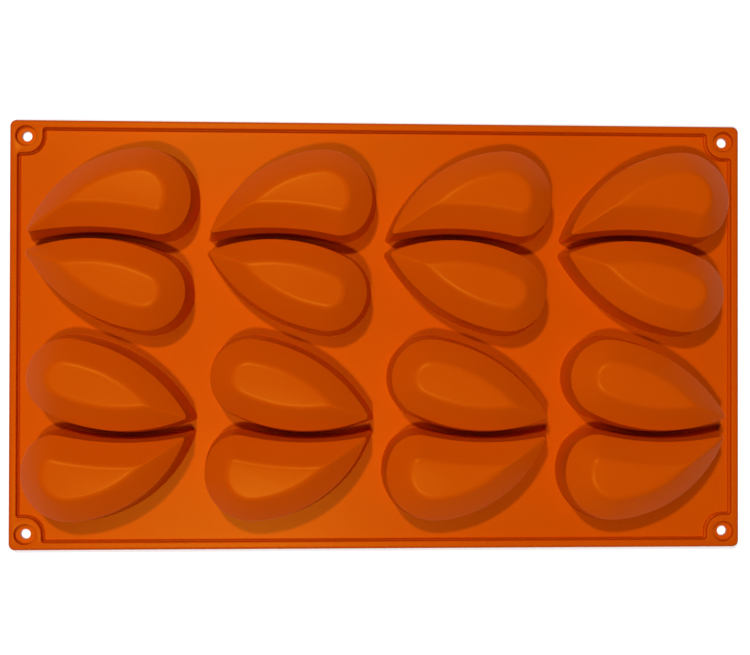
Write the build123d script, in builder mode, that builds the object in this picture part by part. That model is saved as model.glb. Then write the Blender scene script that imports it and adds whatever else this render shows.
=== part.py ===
from build123d import *
import math
import os

# A one-piece silicone baking mould, lying on its flat filling face with the cups standing up.
# X runs along the long side, Y along the short side and Z up out of the resting face.
# The origin is the middle of the resting face. All sizes are in millimetres.

# Sheet that joins the cups, and the raised rim around it
sheet_thickness = 1.5
sheet_corner_radius = 2.6
rim_width = 3.1
rim_height = 4.0
rim_outer_round = 1.2

# Corner eyelets: a counterbored hole in a widened corner of the rim
eyelet_inset = 6.45
eyelet_wall = 2.7
eyelet_blend = 1.2
eyelet_run_out = 0.4
counterbore_radius = 4.2
hole_radius = 2.05

# Cups: a drafted wall, a sloping shoulder and a flat top, all of one wall thickness
cup_wall = 1.5
cup_height = 25.0
shoulder_height = 18.0
wall_draft_run = 1.6
shoulder_run = 9.3
inner_tip_radius = 1.7

# Drop cup, at shoulder height: a round end, two long flanks and a small round tip
drop_end_x = 15.4
drop_end_radius = 15.7
drop_length = 45.3
drop_rise = 15.1
drop_tip_radius = 1.6
drop_inner_flank = 66.0
drop_outer_flank = 62.0

# Comma cup, at shoulder height: the round end is two arcs, and the flank that
# faces the drop cup is hollow
comma_end_x = 14.2
comma_end_radius = 19.0
comma_heel_x = 6.2
comma_heel_y = -3.3
comma_length = 44.1
comma_tip_radius = 1.0
comma_back_flank = 50.5
comma_hollow_flank = 117.0

# Gaps: between the two rows and inside a pair at shoulder height, then on the sheet
# between pairs of one row, from a pair to the rim's end, and from a pair to its side
row_gap = 3.0
pair_end_gap = 3.1
pair_tip_gap = 6.7
column_gap = 4.2
end_gap = 3.95
side_gap = 8.8
column_count = 4

# Places that follow from these sizes
drop_end = (drop_end_x, row_gap / 2 + drop_end_radius)
drop_tip = (drop_end_x - drop_length, drop_end[1] + drop_rise)
comma_end = (comma_end_x, drop_end[1] + drop_end_radius + pair_end_gap + comma_end_radius)
comma_heel = (comma_end[0] + comma_heel_x, comma_end[1] + comma_heel_y)
comma_tip = (
    comma_end_x - comma_length,
    drop_tip[1] + drop_tip_radius + pair_tip_gap + comma_tip_radius,
)
pair_right = wall_draft_run + max(drop_end_x + drop_end_radius, comma_end_x + comma_end_radius)
pair_left = wall_draft_run + max(drop_tip_radius - drop_tip[0], comma_tip_radius - comma_tip[0])
pair_back = wall_draft_run + comma_end[1] + comma_end_radius
column_pitch = pair_left + pair_right + column_gap
row_reach = column_pitch * (column_count - 1) / 2 + pair_right
sheet_length = 2 * (row_reach + end_gap + rim_width)
sheet_width = 2 * (pair_back + side_gap + rim_width)
print(f"sheet {sheet_length:.2f} by {sheet_width:.2f}, columns every {column_pitch:.2f}")

os.makedirs("parts", exist_ok=True)


def save(part, name):
    part.label = name
    export_step(part, f"parts/{name}.step")


def circle_crossing(first, first_radius, second, second_radius, side):
    """Point at the two distances from two centres, left (+1) or right (-1) of the line."""
    along = Vector(*second) - Vector(*first)
    span = along.length
    reach = (first_radius**2 - second_radius**2 + span**2) / (2 * span)
    rise = math.sqrt(first_radius**2 - reach**2)
    unit = along / span
    point = Vector(*first) + unit * reach + Vector(-unit.Y, unit.X) * (side * rise)
    return (point.X, point.Y)


def touching_centre(first, second, radius, side):
    """Centre of the arc of this radius that is tangent to two arcs (centre, radius)."""
    return circle_crossing(
        first[0], abs(radius - first[1]), second[0], abs(radius - second[1]), side
    )


# An outline is a ring of tangent arcs (centre, radius), anticlockwise. A hollow arc
# has a negative radius, so adding to each radius moves the whole outline outwards.
drop_round = (drop_end, drop_end_radius)
drop_point = (drop_tip, drop_tip_radius)
drop_arcs = [
    drop_round,
    (touching_centre(drop_round, drop_point, drop_inner_flank, 1), drop_inner_flank),
    drop_point,
    (touching_centre(drop_round, drop_point, drop_outer_flank, -1), drop_outer_flank),
]

comma_heel_radius = comma_end_radius - math.dist(comma_end, comma_heel)
comma_round = (comma_end, comma_end_radius)
comma_small_round = (comma_heel, comma_heel_radius)
comma_point = (comma_tip, comma_tip_radius)
comma_arcs = [
    comma_small_round,
    comma_round,
    (touching_centre(comma_round, comma_point, comma_back_flank, 1), comma_back_flank),
    comma_point,
    (
        touching_centre(comma_small_round, comma_point, -comma_hollow_flank, 1),
        -comma_hollow_flank,
    ),
]


def grown(arcs, growth, tip_radius):
    """The outline moved outwards by growth, with its tip rounded to tip_radius."""
    ring = [(centre, radius + growth) for centre, radius in arcs]
    before, after = ring[-3], ring[-1]
    tip = circle_crossing(
        after[0], abs(after[1] - tip_radius), before[0], abs(before[1] - tip_radius), 1
    )
    near = math.dist(tip, arcs[-2][0])
    other = circle_crossing(
        after[0], abs(after[1] - tip_radius), before[0], abs(before[1] - tip_radius), -1
    )
    if math.dist(other, arcs[-2][0]) < near:
        tip = other
    ring[-2] = (tip, tip_radius)
    return ring


def joint_angle(arc, following):
    """Direction of the shared normal where one arc runs into the next."""
    (x1, y1), r1 = arc
    (x2, y2), r2 = following
    sign = 1 if r2 > r1 else -1
    return math.atan2(sign * (y1 - y2), sign * (x1 - x2))


def outline(arcs, growth, tip_radius):
    """Edges of an outline moved outwards by growth, drawn on the XY plane."""
    ring = grown(arcs, growth, tip_radius)
    angles = [joint_angle(ring[i - 1], ring[i]) for i in range(len(ring))]
    with BuildLine() as line:
        for index, ((x, y), radius) in enumerate(ring):
            start = angles[index]
            turn = (angles[(index + 1) % len(ring)] - start) % (2 * math.pi)
            if radius < 0:
                turn -= 2 * math.pi
            points = []
            for share in (0, 0.5, 1):
                angle = start + turn * share
                points.append((x + radius * math.cos(angle), y + radius * math.sin(angle)))
            ThreePointArc(*points)
    return line.edges()


def cup(arcs, tip_radius):
    """One cup of the back row at the column's axis, open at its foot."""
    slope = math.atan2(cup_height - shoulder_height, shoulder_run)
    wall_rise = shoulder_height - sheet_thickness
    draft = math.degrees(math.atan2(wall_draft_run, wall_rise))
    lean = 90 - math.degrees(slope)
    inner_rise = wall_rise - cup_wall * math.tan(slope / 2)
    crown_rise = cup_height - shoulder_height
    inner_crown = cup_height - cup_wall - sheet_thickness - inner_rise
    foot = Plane.XY.offset(sheet_thickness)
    with BuildPart() as body:
        with BuildSketch(foot):
            make_face(outline(arcs, wall_draft_run, tip_radius + wall_draft_run))
        extrude(amount=wall_rise, taper=draft)
        extrude(body.faces().sort_by(Axis.Z)[-1], amount=crown_rise, taper=lean)
    with BuildPart() as hollow:
        with BuildSketch(foot):
            make_face(outline(arcs, wall_draft_run - cup_wall, inner_tip_radius))
        extrude(amount=inner_rise, taper=draft)
        extrude(hollow.faces().sort_by(Axis.Z)[-1], amount=inner_crown, taper=lean)
    return body.part - hollow.part


def rows():
    """Name, X place and turn about Z of each column in the two rows."""
    for row, turn in (("back", 0), ("front", 180)):
        for column in range(column_count):
            shift = (column - (column_count - 1) / 2) * column_pitch
            yield f"{row}_{column + 1}", Location((shift, 0, 0), (0, 0, turn))


# Cups: the front row is the back row turned half a turn about the middle of the sheet
drop_cup = cup(drop_arcs, drop_tip_radius)
comma_cup = cup(comma_arcs, comma_tip_radius)
for place, location in rows():
    save(drop_cup.moved(location), f"drop_cup_{place}")
    save(comma_cup.moved(location), f"comma_cup_{place}")

# Web: the flat sheet, with a mouth under each cup and a hole in each corner
hole_spacing_x = sheet_length - 2 * eyelet_inset
hole_spacing_y = sheet_width - 2 * eyelet_inset
with BuildPart() as web_sheet:
    with BuildSketch():
        RectangleRounded(sheet_length, sheet_width, sheet_corner_radius)
        with GridLocations(hole_spacing_x, hole_spacing_y, 2, 2):
            Circle(hole_radius, mode=Mode.SUBTRACT)
    extrude(amount=sheet_thickness)
    with BuildSketch() as mouths:
        for arcs in (drop_arcs, comma_arcs):
            for _, location in rows():
                with BuildSketch(Plane(location), mode=Mode.PRIVATE) as mouth:
                    make_face(outline(arcs, wall_draft_run - cup_wall, inner_tip_radius))
                add(mouth.sketch)
    extrude(amount=sheet_thickness, mode=Mode.SUBTRACT)
save(web_sheet.part, "web_sheet")

# Rim: four bars that run between the corner eyelets, all standing on the web
rim_rise = rim_height - sheet_thickness
eyelet_reach = eyelet_inset + counterbore_radius + eyelet_wall
corner_reach = eyelet_reach + eyelet_blend + eyelet_run_out


def rim_bar(length, across):
    """A bar along X, on the outer edge of a sheet that is this far across."""
    with BuildPart() as bar:
        with BuildSketch(Plane.YZ.offset(-length / 2)):
            outer = -across / 2
            with BuildLine():
                Polyline(
                    (outer, sheet_thickness),
                    (outer + rim_width, sheet_thickness),
                    (outer + rim_width, rim_height),
                    (outer, rim_height),
                    close=True,
                )
            make_face()
        extrude(amount=length)
        top_edges = bar.faces().sort_by(Axis.Z)[-1].edges().filter_by(Axis.X).sort_by(Axis.Y)
        fillet(top_edges[0], rim_outer_round)
    return bar.part


long_bar = rim_bar(sheet_length - 2 * corner_reach, sheet_width)
short_bar = rim_bar(sheet_width - 2 * corner_reach, sheet_length)
for name, bar, turn in (
    ("rim_bar_front", long_bar, 0),
    ("rim_bar_right", short_bar, 90),
    ("rim_bar_back", long_bar, 180),
    ("rim_bar_left", short_bar, 270),
):
    save(bar.moved(Location((0, 0, 0), (0, 0, turn))), name)

# Corner eyelet, drawn at the front left corner: the rim widens into a rounded pad
# round the counterbore, and small blends run out into the bars
with BuildPart() as eyelet:
    with BuildSketch(Plane.XY.offset(sheet_thickness)) as pad:
        with BuildLine():
            Polyline(
                (0, 0),
                (corner_reach, 0),
                (corner_reach, rim_width),
                (eyelet_reach, rim_width),
                (eyelet_reach, eyelet_reach),
                (rim_width, eyelet_reach),
                (rim_width, corner_reach),
                (0, corner_reach),
                close=True,
            )
        make_face()
        for corner, radius in (
            ((0, 0), sheet_corner_radius),
            ((eyelet_reach, eyelet_reach), counterbore_radius + eyelet_wall),
            ((eyelet_reach, rim_width), eyelet_blend),
            ((rim_width, eyelet_reach), eyelet_blend),
        ):
            fillet(pad.vertices().sort_by_distance((*corner, sheet_thickness))[0], radius)
    extrude(amount=rim_rise)
    top_edges = eyelet.faces().sort_by(Axis.Z)[-1].edges()
    outer_edges = top_edges.filter_by(lambda edge: min(*tuple(edge.center())[:2]) < rim_width / 3)
    fillet(outer_edges, rim_outer_round)
    with Locations((eyelet_inset, eyelet_inset, rim_height)):
        Hole(counterbore_radius)

half_length = sheet_length / 2
half_width = sheet_width / 2
for name, x, y, turn in (
    ("front_left", -half_length, -half_width, 0),
    ("front_right", half_length, -half_width, 90),
    ("back_right", half_length, half_width, 180),
    ("back_left", -half_length, half_width, 270),
):
    save(eyelet.part.moved(Location((x, y, 0), (0, 0, turn))), f"corner_eyelet_{name}")
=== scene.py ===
import math
import bmesh
import bpy
from mathutils import Matrix, Vector


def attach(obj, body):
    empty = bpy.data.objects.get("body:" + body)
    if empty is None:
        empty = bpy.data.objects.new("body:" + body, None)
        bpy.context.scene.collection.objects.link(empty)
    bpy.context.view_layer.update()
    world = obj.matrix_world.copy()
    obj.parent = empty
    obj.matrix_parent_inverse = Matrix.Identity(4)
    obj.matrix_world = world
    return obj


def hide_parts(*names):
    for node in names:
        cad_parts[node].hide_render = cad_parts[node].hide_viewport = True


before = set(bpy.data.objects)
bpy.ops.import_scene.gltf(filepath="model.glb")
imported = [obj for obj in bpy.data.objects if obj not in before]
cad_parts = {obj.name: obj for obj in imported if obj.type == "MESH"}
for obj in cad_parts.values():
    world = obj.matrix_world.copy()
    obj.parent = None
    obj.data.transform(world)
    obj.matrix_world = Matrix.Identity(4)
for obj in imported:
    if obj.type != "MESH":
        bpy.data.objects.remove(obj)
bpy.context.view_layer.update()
print("frame loaded:", len(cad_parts), "nodes")

mm = 0.001
quarter = math.pi / 2  # of a turn
half = math.pi
sharpAngle = math.radians(40)
sameHeight = 0.001  # mm, less than this apart counts as level
cutTolerance = 1e-7

# Sizes in mm. Steps are the edges that make up one round
sheet = {
    "length": 300.0, "width": 175.0, "thickness": 1.5, "cornerRadius": 2.6, "cornerSteps": 8,
    "edgeRound": 0.4, "edgeSteps": 3, "mouthRound": 0.3, "mouthSteps": 3, "levelNormal": 0.999,
}


# Points on part of a circle, as pairs of distance outwards and height
def roundProfile(centre, radius, fromAngle, toAngle, steps):
    angles = [fromAngle + (toAngle - fromAngle) * i / steps for i in range(steps + 1)]
    return [(centre[0] + radius * math.cos(angle), centre[1] + radius * math.sin(angle)) for angle in angles]


# Joins each ring of edges to the next with faces
def bridgeAll(bm, rings):
    for lower, upper in zip(rings, rings[1:]):
        bmesh.ops.bridge_loops(bm, edges=lower + upper, use_pairs=False, use_cyclic=False)


# Closes a flat face, with its holes, over the open edges at this height
def fillFlat(bm, height):
    rings = [
        edge for edge in bm.edges
        if edge.is_boundary and all(abs(vert.co.z - height * mm) < sameHeight * mm for vert in edge.verts)
    ]
    bmesh.ops.triangle_fill(bm, edges=rings, use_beauty=False, use_dissolve=False)


def makeObject(bm, name):
    bmesh.ops.recalc_face_normals(bm, faces=bm.faces)
    mesh = bpy.data.meshes.new(name)
    bm.to_mesh(mesh)
    bm.free()
    mesh.shade_smooth()
    mesh.set_sharp_from_angle(angle=sharpAngle)
    piece = bpy.data.objects.new(name, mesh)
    bpy.context.scene.collection.objects.link(piece)
    return piece


def takesPlaceOf(piece, node, material):
    piece.data.materials.clear()
    piece.data.materials.append(material)
    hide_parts(node)
    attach(piece, "root")


# Shader maths written as expressions: a socket that knows its tree
class Wire:
    def __init__(self, tree, socket):
        self.tree = tree
        self.socket = socket

    def math(self, operation, first, second):
        node = self.tree.nodes.new("ShaderNodeMath")
        node.operation = operation
        for index, value in enumerate((first, second)):
            if isinstance(value, Wire):
                self.tree.links.new(value.socket, node.inputs[index])
            else:
                node.inputs[index].default_value = value
        return Wire(self.tree, node.outputs[0])

    def __add__(self, other):
        return self.math("ADD", self, other)

    def __radd__(self, other):
        return self.math("ADD", other, self)

    def __sub__(self, other):
        return self.math("SUBTRACT", self, other)

    def __rsub__(self, other):
        return self.math("SUBTRACT", other, self)

    def __mul__(self, other):
        return self.math("MULTIPLY", self, other)

    def __rmul__(self, other):
        return self.math("MULTIPLY", other, self)


# A new material, and the one way in which its nodes are made
class Shade:
    def __init__(self, name):
        self.material = bpy.data.materials.new(name)
        self.material.use_nodes = True
        self.tree = self.material.node_tree
        self.tree.nodes.clear()

    def node(self, kind, settings=None, sockets=None, output=0):
        made = self.tree.nodes.new(kind)
        for key, value in (settings or {}).items():
            setattr(made, key, value)
        for key, value in (sockets or {}).items():
            if isinstance(value, Wire):
                self.tree.links.new(value.socket, made.inputs[key])
            else:
                made.inputs[key].default_value = value
        return Wire(self.tree, made.outputs[output]) if made.outputs else None


# Rises and bump depth are small, because the surface is nearly smooth
silicone = {
    "orange": (0.70, 0.091, 0.0003), "deep": (0.64, 0.075, 0.0002), "tint": (1.0, 0.48, 0.03),
    "roughness": 0.34, "specular": 0.27, "ior": 1.42,
    "glow": 0.06, "glowDepth": 0.002, "glowReach": (1.0, 0.12, 0.03),
    "cloud": {"Scale": 18.0, "Detail": 3.0, "Roughness": 0.5},
    "grain": {"Scale": 1600.0, "Detail": 2.0, "Roughness": 0.6},
    "wave": {"Scale": 28.0, "Detail": 1.0, "Roughness": 0.4},
    "grainRise": 0.024, "waveRise": 0.12, "bumpStrength": 0.35, "bumpDepth": 0.001,
    "grainRoughness": 0.10, "cloudRoughness": 0.08, "noiseMiddle": 0.5,
}


def makeSilicone():
    shade = Shade("orangeSilicone")
    place = shade.node("ShaderNodeTexCoord", output="Object")
    cloud, grain, wave = (
        shade.node("ShaderNodeTexNoise", sockets={"Vector": place, **silicone[pattern]})
        for pattern in ("cloud", "grain", "wave")
    )
    colour = shade.node(
        "ShaderNodeMix", {"data_type": "RGBA"},
        {"Factor": cloud, "A": (*silicone["deep"], 1), "B": (*silicone["orange"], 1)}, output="Result",
    )
    rise = grain * silicone["grainRise"] + wave * silicone["waveRise"]
    bump = shade.node(
        "ShaderNodeBump",
        sockets={"Height": rise, "Strength": silicone["bumpStrength"], "Distance": silicone["bumpDepth"]},
    )
    grainChange = (grain - silicone["noiseMiddle"]) * silicone["grainRoughness"]
    cloudChange = (cloud - silicone["noiseMiddle"]) * silicone["cloudRoughness"]
    skin = shade.node(
        "ShaderNodeBsdfPrincipled",
        sockets={
            "Base Color": colour, "Roughness": silicone["roughness"] + grainChange + cloudChange,
            "Normal": bump, "IOR": silicone["ior"],
            "Specular IOR Level": silicone["specular"], "Specular Tint": (*silicone["tint"], 1),
            "Subsurface Weight": silicone["glow"], "Subsurface Radius": silicone["glowReach"],
            "Subsurface Scale": silicone["glowDepth"],
        },
    )
    shade.node("ShaderNodeOutputMaterial", sockets={"Surface": skin})
    return shade.material


# The cups: a drafted wall up to the shoulder, then slopes that run in to a flat top
cup = {
    "wall": 1.5, "height": 25.0, "shoulder": 18.0, "draft": 1.6, "run": 9.3,
    "footRound": 0.35, "footSteps": 4, "shoulderRound": 0.5, "innerRound": 1.0, "shoulderSteps": 4,
    "topRound": 4.6, "topSteps": 5, "ridge": 0.35, "innerTip": 1.7, "pitch": 72.1, "columns": 4,
}
# The two outlines at the shoulder: centres and radii of the arcs that make them up
dropShape = {
    "end": (15.4, 17.2), "endRadius": 15.7, "innerFlank": 66.0, "outerFlank": 62.0,
    "tip": (-29.9, 32.3), "tipRadius": 1.6, "steps": [28, 26, 8, 26],
}
commaShape = {
    "end": (14.2, 55.0), "endRadius": 19.0, "heel": (20.4, 51.7), "backFlank": 50.5,
    "hollowFlank": 117.0, "tip": (-29.9, 41.6), "tipRadius": 1.0, "steps": [14, 18, 26, 8, 26],
}


# Where two circles cross, on one side or the other of the line between their centres
def crossing(first, firstRadius, second, secondRadius, side):
    along = Vector(second) - Vector(first)
    span = along.length
    reach = (firstRadius**2 - secondRadius**2 + span**2) / (2 * span)
    rise = math.sqrt(firstRadius**2 - reach**2)
    unit = along / span
    return Vector(first) + unit * reach + Vector((-unit.y, unit.x)) * (side * rise)


# Centre of the arc of this radius that touches two others
def touching(first, second, radius, side):
    return crossing(first[0], abs(radius - first[1]), second[0], abs(radius - second[1]), side)


# Outlines: rings of tangent arcs (centre, radius), anticlockwise, hollow arcs negative
def dropArcs(shape):
    end = (shape["end"], shape["endRadius"])
    tip = (shape["tip"], shape["tipRadius"])
    inner, outer = shape["innerFlank"], shape["outerFlank"]
    return [end, (touching(end, tip, inner, 1), inner), tip, (touching(end, tip, outer, -1), outer)]


def commaArcs(shape):
    end = (shape["end"], shape["endRadius"])
    heel = (shape["heel"], shape["endRadius"] - math.dist(shape["end"], shape["heel"]))
    tip = (shape["tip"], shape["tipRadius"])
    back, hollow = shape["backFlank"], -shape["hollowFlank"]
    backArc = (touching(end, tip, back, 1), back)
    hollowArc = (touching(heel, tip, hollow, 1), hollow)
    return [heel, end, backArc, tip, hollowArc]


# The outline moved outwards by growth, with its tip arc set anew between its neighbours
def grown(arcs, growth, tipRadius):
    ring = [(Vector(centre), radius + growth) for centre, radius in arcs]
    before, after = ring[-3], ring[-1]
    sides = [
        crossing(after[0], abs(after[1] - tipRadius), before[0], abs(before[1] - tipRadius), side)
        for side in (1, -1)
    ]
    oldTip = Vector(arcs[-2][0])
    ring[-2] = (min(sides, key=lambda point: (point - oldTip).length), tipRadius)
    return ring


# Direction in which an arc meets the next one
def jointAngle(arc, following):
    sign = 1 if following[1] > arc[1] else -1
    away = (arc[0] - following[0]) * sign
    return math.atan2(away.y, away.x)


# One closed ring of edges, made by spinning its last corner about each arc's centre
def spinRing(bm, ring, height, steps):
    angles = [jointAngle(ring[i - 1], ring[i]) for i in range(len(ring))]
    start = ring[0][0] + Vector((math.cos(angles[0]), math.sin(angles[0]))) * ring[0][1]
    first = bm.verts.new((start.x * mm, start.y * mm, height * mm))
    last, before = first, set(bm.edges)
    for index, (centre, radius) in enumerate(ring):
        turn = (angles[(index + 1) % len(ring)] - angles[index]) % (2 * half)
        if radius < 0:
            turn -= 2 * half
        count = steps[index]
        if index == len(ring) - 1:  # the closing edge makes the last step
            turn *= (count - 1) / count
            count -= 1
        spun = bmesh.ops.spin(
            bm, geom=[last], cent=(centre.x * mm, centre.y * mm, height * mm), axis=(0, 0, 1),
            dvec=(0, 0, 0), angle=turn, steps=count, use_merge=False, use_normal_flip=False,
            use_duplicate=False,
        )
        last = [item for item in spun["geom_last"] if isinstance(item, bmesh.types.BMVert)][0]
    bm.edges.new((last, first))
    return [edge for edge in bm.edges if edge not in before]


# Growth, height and tip radius of each level of a cup's skin, set in by a wall thickness
def cupLevels(inset, tipRadius, footRound, shoulderRound, topRound):
    base = sheet["thickness"]
    slope = math.atan2(cup["height"] - cup["shoulder"], cup["run"])
    lean = math.atan2(cup["draft"], cup["shoulder"] - base)
    edge = cup["shoulder"] - inset * math.tan(slope / 2)
    top = cup["height"] - inset
    run = (top - edge) / math.tan(slope)
    foot = cup["draft"] * (edge - base) / (cup["shoulder"] - base)
    if footRound:
        centre = (foot + footRound, base + footRound)
        profile = roundProfile(centre, footRound, -quarter, lean - half, cup["footSteps"])
    else:
        profile = [(foot, base)]
    back = shoulderRound * math.tan((quarter - lean - slope) / 2)
    centre = (
        back * math.sin(lean) - shoulderRound * math.cos(lean),
        edge - back * math.cos(lean) - shoulderRound * math.sin(lean),
    )
    profile += roundProfile(centre, shoulderRound, lean, quarter - slope, cup["shoulderSteps"])
    centre = (-run - topRound * math.tan(slope / 2), top - topRound)
    profile += roundProfile(centre, topRound, quarter - slope, quarter, cup["topSteps"])
    return [
        (growth - inset, height, max(tipRadius + min(growth, 0), cup["ridge"]))
        for growth, height in profile
    ]


# A hollow cup: outer skin and inner skin, joined by a flat foot
def makeCup(kind, name):
    bm = bmesh.new()
    for inset, tipRadius, footRound, shoulderRound in (
        (0, kind["tipRadius"], cup["footRound"], cup["shoulderRound"]),
        (cup["wall"], cup["innerTip"], 0, cup["innerRound"]),
    ):
        rings = [
            spinRing(bm, grown(kind["arcs"], growth, tip), height, kind["steps"])
            for growth, height, tip in cupLevels(inset, tipRadius, footRound, shoulderRound, cup["topRound"])
        ]
        bridgeAll(bm, rings)
        bmesh.ops.contextual_create(bm, geom=rings[-1])
    fillFlat(bm, sheet["thickness"])
    return makeObject(bm, name)


# Places of the cups: the front row is the back row turned half a turn
def places():
    for row, turn in (("back", 0.0), ("front", half)):
        for column in range(cup["columns"]):
            shift = (column - (cup["columns"] - 1) / 2) * cup["pitch"] * mm
            place = Matrix.Translation((shift, 0, 0)) @ Matrix.Rotation(turn, 4, "Z")
            yield "%s_%d" % (row, column + 1), place


rim = {
    "width": 3.1, "height": 4.0, "outerRound": 1.2, "outerSteps": 6, "innerRound": 0.45, "footRound": 0.35,
    "innerSteps": 4, "eyeletInset": 6.45, "eyeletRadius": 6.9, "eyeletBlend": 1.2, "eyeletRunOut": 0.4,
    "counterboreRadius": 4.2, "counterboreRound": 0.25, "counterboreSteps": 3, "counterboreSides": 48,
    "holeRadius": 2.05, "holeSides": 32, "grooveWidth": 0.7, "grooveDepth": 0.65, "grooveLowest": 0.3,
}
# Corners anticlockwise from the back right: side in x, side in y, turn
cornerTurns = ((1, 1, 0), (-1, 1, quarter), (-1, -1, 2 * quarter), (1, -1, 3 * quarter))


# A closed ring of round corners (centre, radius, first angle, turn) joined by straight edges
def cornerRing(bm, corners, height):
    made, ends = [], []
    for (x, y), radius, angle, turn in corners:
        startX, startY = x + radius * math.cos(angle), y + radius * math.sin(angle)
        first = bm.verts.new((startX * mm, startY * mm, height * mm))
        before = set(bm.edges)
        spun = bmesh.ops.spin(
            bm, geom=[first], cent=(x * mm, y * mm, height * mm), axis=(0, 0, 1), dvec=(0, 0, 0),
            angle=turn, steps=sheet["cornerSteps"], use_merge=False, use_normal_flip=False,
            use_duplicate=False,
        )
        last = [item for item in spun["geom_last"] if isinstance(item, bmesh.types.BMVert)][0]
        made += [edge for edge in bm.edges if edge not in before]
        ends.append((first, last))
    for index, (first, _) in enumerate(ends):
        made.append(bm.edges.new((ends[index - 1][1], first)))
    return made


# Corners of the sheet's outer edge, moved outwards by growth
def sheetCorners(growth):
    radius = sheet["cornerRadius"]
    x = sheet["length"] / 2 - radius
    y = sheet["width"] / 2 - radius
    return [((sx * x, sy * y), radius + growth, angle, quarter) for sx, sy, angle in cornerTurns]


# Corners of the rim's inner edge, which bulges in round each eyelet, moved inwards by inset
def rimCorners(inset):
    reach = rim["eyeletInset"] + rim["eyeletRadius"]
    x = sheet["length"] / 2
    y = sheet["width"] / 2
    blend, pad = rim["eyeletBlend"] - inset, rim["eyeletRadius"] + inset
    near, far = rim["width"] + rim["eyeletBlend"], reach + rim["eyeletBlend"]
    ring = []
    for sx, sy, angle in cornerTurns:
        turned = Matrix.Rotation(angle, 2)
        side = (x, y) if sx == sy else (y, x)
        for offset, radius, first, turn in (
            ((near, far), blend, 0, quarter),
            ((rim["eyeletInset"], rim["eyeletInset"]), pad, -quarter, -quarter),
            ((far, near), blend, 0, quarter),
        ):
            centre = turned @ Vector((side[0] - offset[0], side[1] - offset[1]))
            ring.append(((centre.x, centre.y), radius, angle + first, turn))
    return ring


def circleRing(bm, centre, radius, height, sides):
    made = bmesh.ops.create_circle(
        bm, segments=sides, radius=radius * mm, cap_ends=False,
        matrix=Matrix.Translation((centre[0] * mm, centre[1] * mm, height * mm)),
    )
    return list({edge for vert in made["verts"] for edge in vert.link_edges})


def eyeletCentres():
    x = sheet["length"] / 2 - rim["eyeletInset"]
    y = sheet["width"] / 2 - rim["eyeletInset"]
    return [(-x, -y), (x, -y), (x, y), (-x, y)]


# The wall of one cup mouth through the web, softened at the filling face
def makeMouth(kind):
    bm = bmesh.new()
    soft, inner = sheet["mouthRound"], cup["draft"] - cup["wall"]
    profile = roundProfile((inner + soft, soft), soft, -quarter, -half, sheet["mouthSteps"])
    profile.append((inner, sheet["thickness"]))
    rings = []
    for growth, height in profile:
        outline = grown(kind["arcs"], growth, cup["innerTip"] + growth - inner)
        rings.append(spinRing(bm, outline, height, kind["steps"]))
    bridgeAll(bm, rings)
    return makeObject(bm, "mouth")


# The web: a flat sheet with a mouth under each cup, a hole in each corner and a groove along the rim
def makeWeb(name):
    bm = bmesh.new()
    soft, top = sheet["edgeRound"], sheet["thickness"]
    profile = roundProfile((-soft, soft), soft, -quarter, 0, sheet["edgeSteps"]) + [(0, top)]
    bridgeAll(bm, [cornerRing(bm, sheetCorners(growth), height) for growth, height in profile])
    groove = []
    for across, down in ((0, 0), (rim["grooveLowest"], 1), (1, 0)):
        corners = rimCorners(rim["footRound"] + across * rim["grooveWidth"])
        groove.append(cornerRing(bm, corners, top - down * rim["grooveDepth"]))
    bridgeAll(bm, groove)
    for centre in eyeletCentres():
        hole = [circleRing(bm, centre, rim["holeRadius"], height, rim["holeSides"]) for height in (0, top)]
        bridgeAll(bm, hole)
    for kind in cupKinds.values():
        mouth = makeMouth(kind)
        for _, place in places():
            mouth.data.transform(place)
            bm.from_mesh(mouth.data)
            mouth.data.transform(place.inverted())
        bpy.data.objects.remove(mouth)
    fillFlat(bm, 0)
    fillFlat(bm, top)
    bmesh.ops.dissolve_degenerate(bm, dist=sameHeight * mm, edges=bm.edges)
    web = makeObject(bm, name)
    for face in web.data.polygons:  # wide level faces take no shading from the small rounds beside them
        face.use_smooth = abs(face.normal.z) < sheet["levelNormal"]
    return web


# The whole rim with its eyelets, cut into its bars and corners afterwards
def makeRim(name):
    bm = bmesh.new()
    base, top = sheet["thickness"], rim["height"]
    soft = rim["outerRound"]
    profile = [(0, base)] + roundProfile((-soft, top - soft), soft, 0, quarter, rim["outerSteps"])
    outer = [cornerRing(bm, sheetCorners(growth), height) for growth, height in profile]
    soft = rim["footRound"]
    profile = roundProfile((soft, base + soft), soft, -quarter, -half, rim["innerSteps"])
    soft = rim["innerRound"]
    profile += roundProfile((-soft, top - soft), soft, 0, quarter, rim["innerSteps"])
    inner = [cornerRing(bm, rimCorners(inset), height) for inset, height in profile]
    bridgeAll(bm, outer)
    bridgeAll(bm, inner)
    radius, soft = rim["counterboreRadius"], rim["counterboreRound"]
    profile = [(radius, base)]
    profile += roundProfile((radius + soft, top - soft), soft, half, quarter, rim["counterboreSteps"])
    for centre in eyeletCentres():
        bore = [
            circleRing(bm, centre, reach, height, rim["counterboreSides"]) for reach, height in profile
        ]
        bridgeAll(bm, bore)
    fillFlat(bm, base)
    fillFlat(bm, top)
    return makeObject(bm, name)


# One piece of a mesh, kept on the near side of each plane (point, outward normal) and closed
def cutPiece(source, planes, name):
    bm = bmesh.new()
    bm.from_mesh(source.data)
    for point, normal in planes:
        cut = bmesh.ops.bisect_plane(
            bm, geom=bm.verts[:] + bm.edges[:] + bm.faces[:], dist=cutTolerance,
            plane_co=Vector(point) * mm, plane_no=normal, clear_outer=True, clear_inner=False,
        )
        cutEdges = [item for item in cut["geom_cut"] if isinstance(item, bmesh.types.BMEdge)]
        bmesh.ops.triangle_fill(bm, edges=cutEdges, use_beauty=True, use_dissolve=False)
    return makeObject(bm, name)


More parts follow.
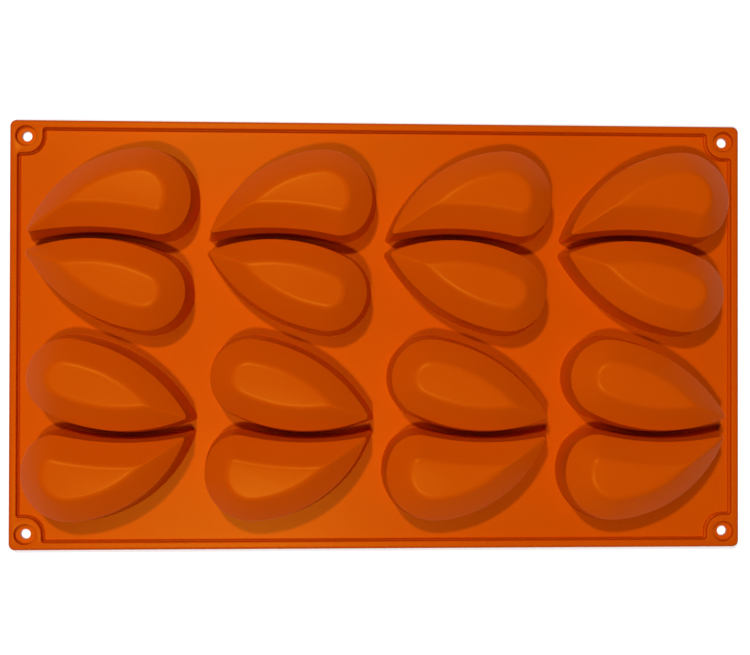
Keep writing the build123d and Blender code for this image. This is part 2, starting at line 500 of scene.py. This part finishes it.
orangeSilicone = makeSilicone()
cupKinds = {
    "drop": {"arcs": dropArcs(dropShape), **dropShape},
    "comma": {"arcs": commaArcs(commaShape), **commaShape},
}
for kind, settings in cupKinds.items():
    master = makeCup(settings, kind + "Cup")
    for label, place in places():
        node = "%s_cup_%s" % (kind, label)
        piece = bpy.data.objects.new("skin_" + node, master.data.copy())
        piece.data.transform(place)
        bpy.context.scene.collection.objects.link(piece)
        takesPlaceOf(piece, node, orangeSilicone)
    bpy.data.objects.remove(master)
print("cups made")

takesPlaceOf(makeWeb("skin_web_sheet"), "web_sheet", orangeSilicone)
print("web made")

# The rim's bars end where the widened corners begin
wholeRim = makeRim("wholeRim")
cornerReach = rim["eyeletInset"] + rim["eyeletRadius"] + rim["eyeletBlend"] + rim["eyeletRunOut"]
barX = sheet["length"] / 2 - cornerReach
barY = sheet["width"] / 2 - cornerReach
acrossCuts = [((barX, 0, 0), (1, 0, 0)), ((-barX, 0, 0), (-1, 0, 0))]
alongCuts = [((0, barY, 0), (0, 1, 0)), ((0, -barY, 0), (0, -1, 0))]
barCuts = {
    "front": acrossCuts + [((0, 0, 0), (0, 1, 0))],
    "back": acrossCuts + [((0, 0, 0), (0, -1, 0))],
    "left": alongCuts + [((0, 0, 0), (1, 0, 0))],
    "right": alongCuts + [((0, 0, 0), (-1, 0, 0))],
}
for side, planes in barCuts.items():
    takesPlaceOf(cutPiece(wholeRim, planes, "skin_rim_bar_" + side), "rim_bar_" + side, orangeSilicone)
cornerSides = {"front_left": (-1, -1), "front_right": (1, -1), "back_right": (1, 1), "back_left": (-1, 1)}
for label, (sx, sy) in cornerSides.items():
    planes = [((sx * barX, 0, 0), (-sx, 0, 0)), ((0, sy * barY, 0), (0, -sy, 0))]
    piece = cutPiece(wholeRim, planes, "skin_corner_eyelet_" + label)
    takesPlaceOf(piece, "corner_eyelet_" + label, orangeSilicone)
bpy.data.objects.remove(wholeRim)
print("rim made")

# Camera: straight above, a little left of the middle, fitted to the photograph. Place in mm, turn in
# radians, focal length, middle and frame in pixels, sensor in mm
view = {
    "place": (-11.386, -6.054, 500.0), "turn": (-0.00777, 0.04485, -0.0021), "focal": 1207.06,
    "middle": (405.05, 341.05), "frame": (750, 655), "sensor": 36.0, "clipStart": 0.01,
}
cameraData = bpy.data.cameras.new("camera")
camera = bpy.data.objects.new("camera", cameraData)
bpy.context.scene.collection.objects.link(camera)
bpy.context.scene.camera = camera
turnX, turnY, turnZ = (Matrix.Rotation(angle, 4, axis) for angle, axis in zip(view["turn"], "XYZ"))
camera.matrix_world = Matrix.Translation(Vector(view["place"]) * mm) @ (turnZ @ turnY @ turnX).inverted()
cameraData.sensor_width = view["sensor"]
cameraData.lens = view["focal"] / view["frame"][0] * view["sensor"]
cameraData.shift_x = (view["frame"][0] / 2 - view["middle"][0]) / view["frame"][0]
cameraData.shift_y = (view["middle"][1] - view["frame"][1] / 2) / view["frame"][0]
cameraData.clip_start = view["clipStart"]

# Floor, in metres: pale, seen white by the camera, with the mold's shadow kept
floorSettings = {"reach": 30.0, "drop": 0.0002, "pale": (0.82, 0.82, 0.82, 1), "glow": 0.45}


def makeFloor():
    bm = bmesh.new()
    bmesh.ops.create_grid(bm, x_segments=1, y_segments=1, size=floorSettings["reach"])
    floor = makeObject(bm, "floor")
    floor.data.transform(Matrix.Translation((0, 0, -floorSettings["drop"])))
    shade = Shade("paleFloor")
    seen, mirrored, passing = (
        shade.node("ShaderNodeLightPath", output="Is %s Ray" % ray)
        for ray in ("Camera", "Glossy", "Transmission")
    )
    strength = (seen + mirrored + passing) * floorSettings["glow"]
    matte = shade.node("ShaderNodeBsdfDiffuse", sockets={"Color": floorSettings["pale"]})
    glow = shade.node("ShaderNodeEmission", sockets={"Color": (1, 1, 1, 1), "Strength": strength})
    both = shade.node("ShaderNodeAddShader", sockets={0: matte, 1: glow})
    shade.node("ShaderNodeOutputMaterial", sockets={"Surface": both})
    floor.data.materials.append(shade.material)


makeFloor()

# Lamps, aimed at the mold: place and size in metres, power in watts
lamps = {
    "back": {"place": (-0.22, 0.52, 1.3), "size": 0.08, "power": 8.6},
    "front": {"place": (-0.17, -0.38, 1.3), "size": 0.08, "power": 7.0},
    "upperSheen": {"place": (-0.225, 0.228, 1.1), "size": 0.1, "power": 0.35},
    "lowerSheen": {"place": (-0.289, -0.275, 1.1), "size": 0.1, "power": 0.45},
    "left": {"place": (-0.45, 0.05, 1.0), "size": 0.12, "power": 0.12},
}
for label, lamp in lamps.items():
    lightData = bpy.data.lights.new(label, "AREA")
    lightData.shape = "SQUARE"
    lightData.size = lamp["size"]
    lightData.energy = lamp["power"]
    light = bpy.data.objects.new(label, lightData)
    light.location = lamp["place"]
    light.rotation_euler = Vector(lamp["place"]).to_track_quat("Z", "Y").to_euler()
    bpy.context.scene.collection.objects.link(light)

room = {"colour": (1, 1, 1, 1), "strength": 0.01}
world = bpy.data.worlds.new("studio")
bpy.context.scene.world = world
world.use_nodes = True
world.node_tree.nodes["Background"].inputs["Color"].default_value = room["colour"]
world.node_tree.nodes["Background"].inputs["Strength"].default_value = room["strength"]
bpy.context.scene.view_settings.view_transform = "Standard"
print("camera, floor and lamps made")
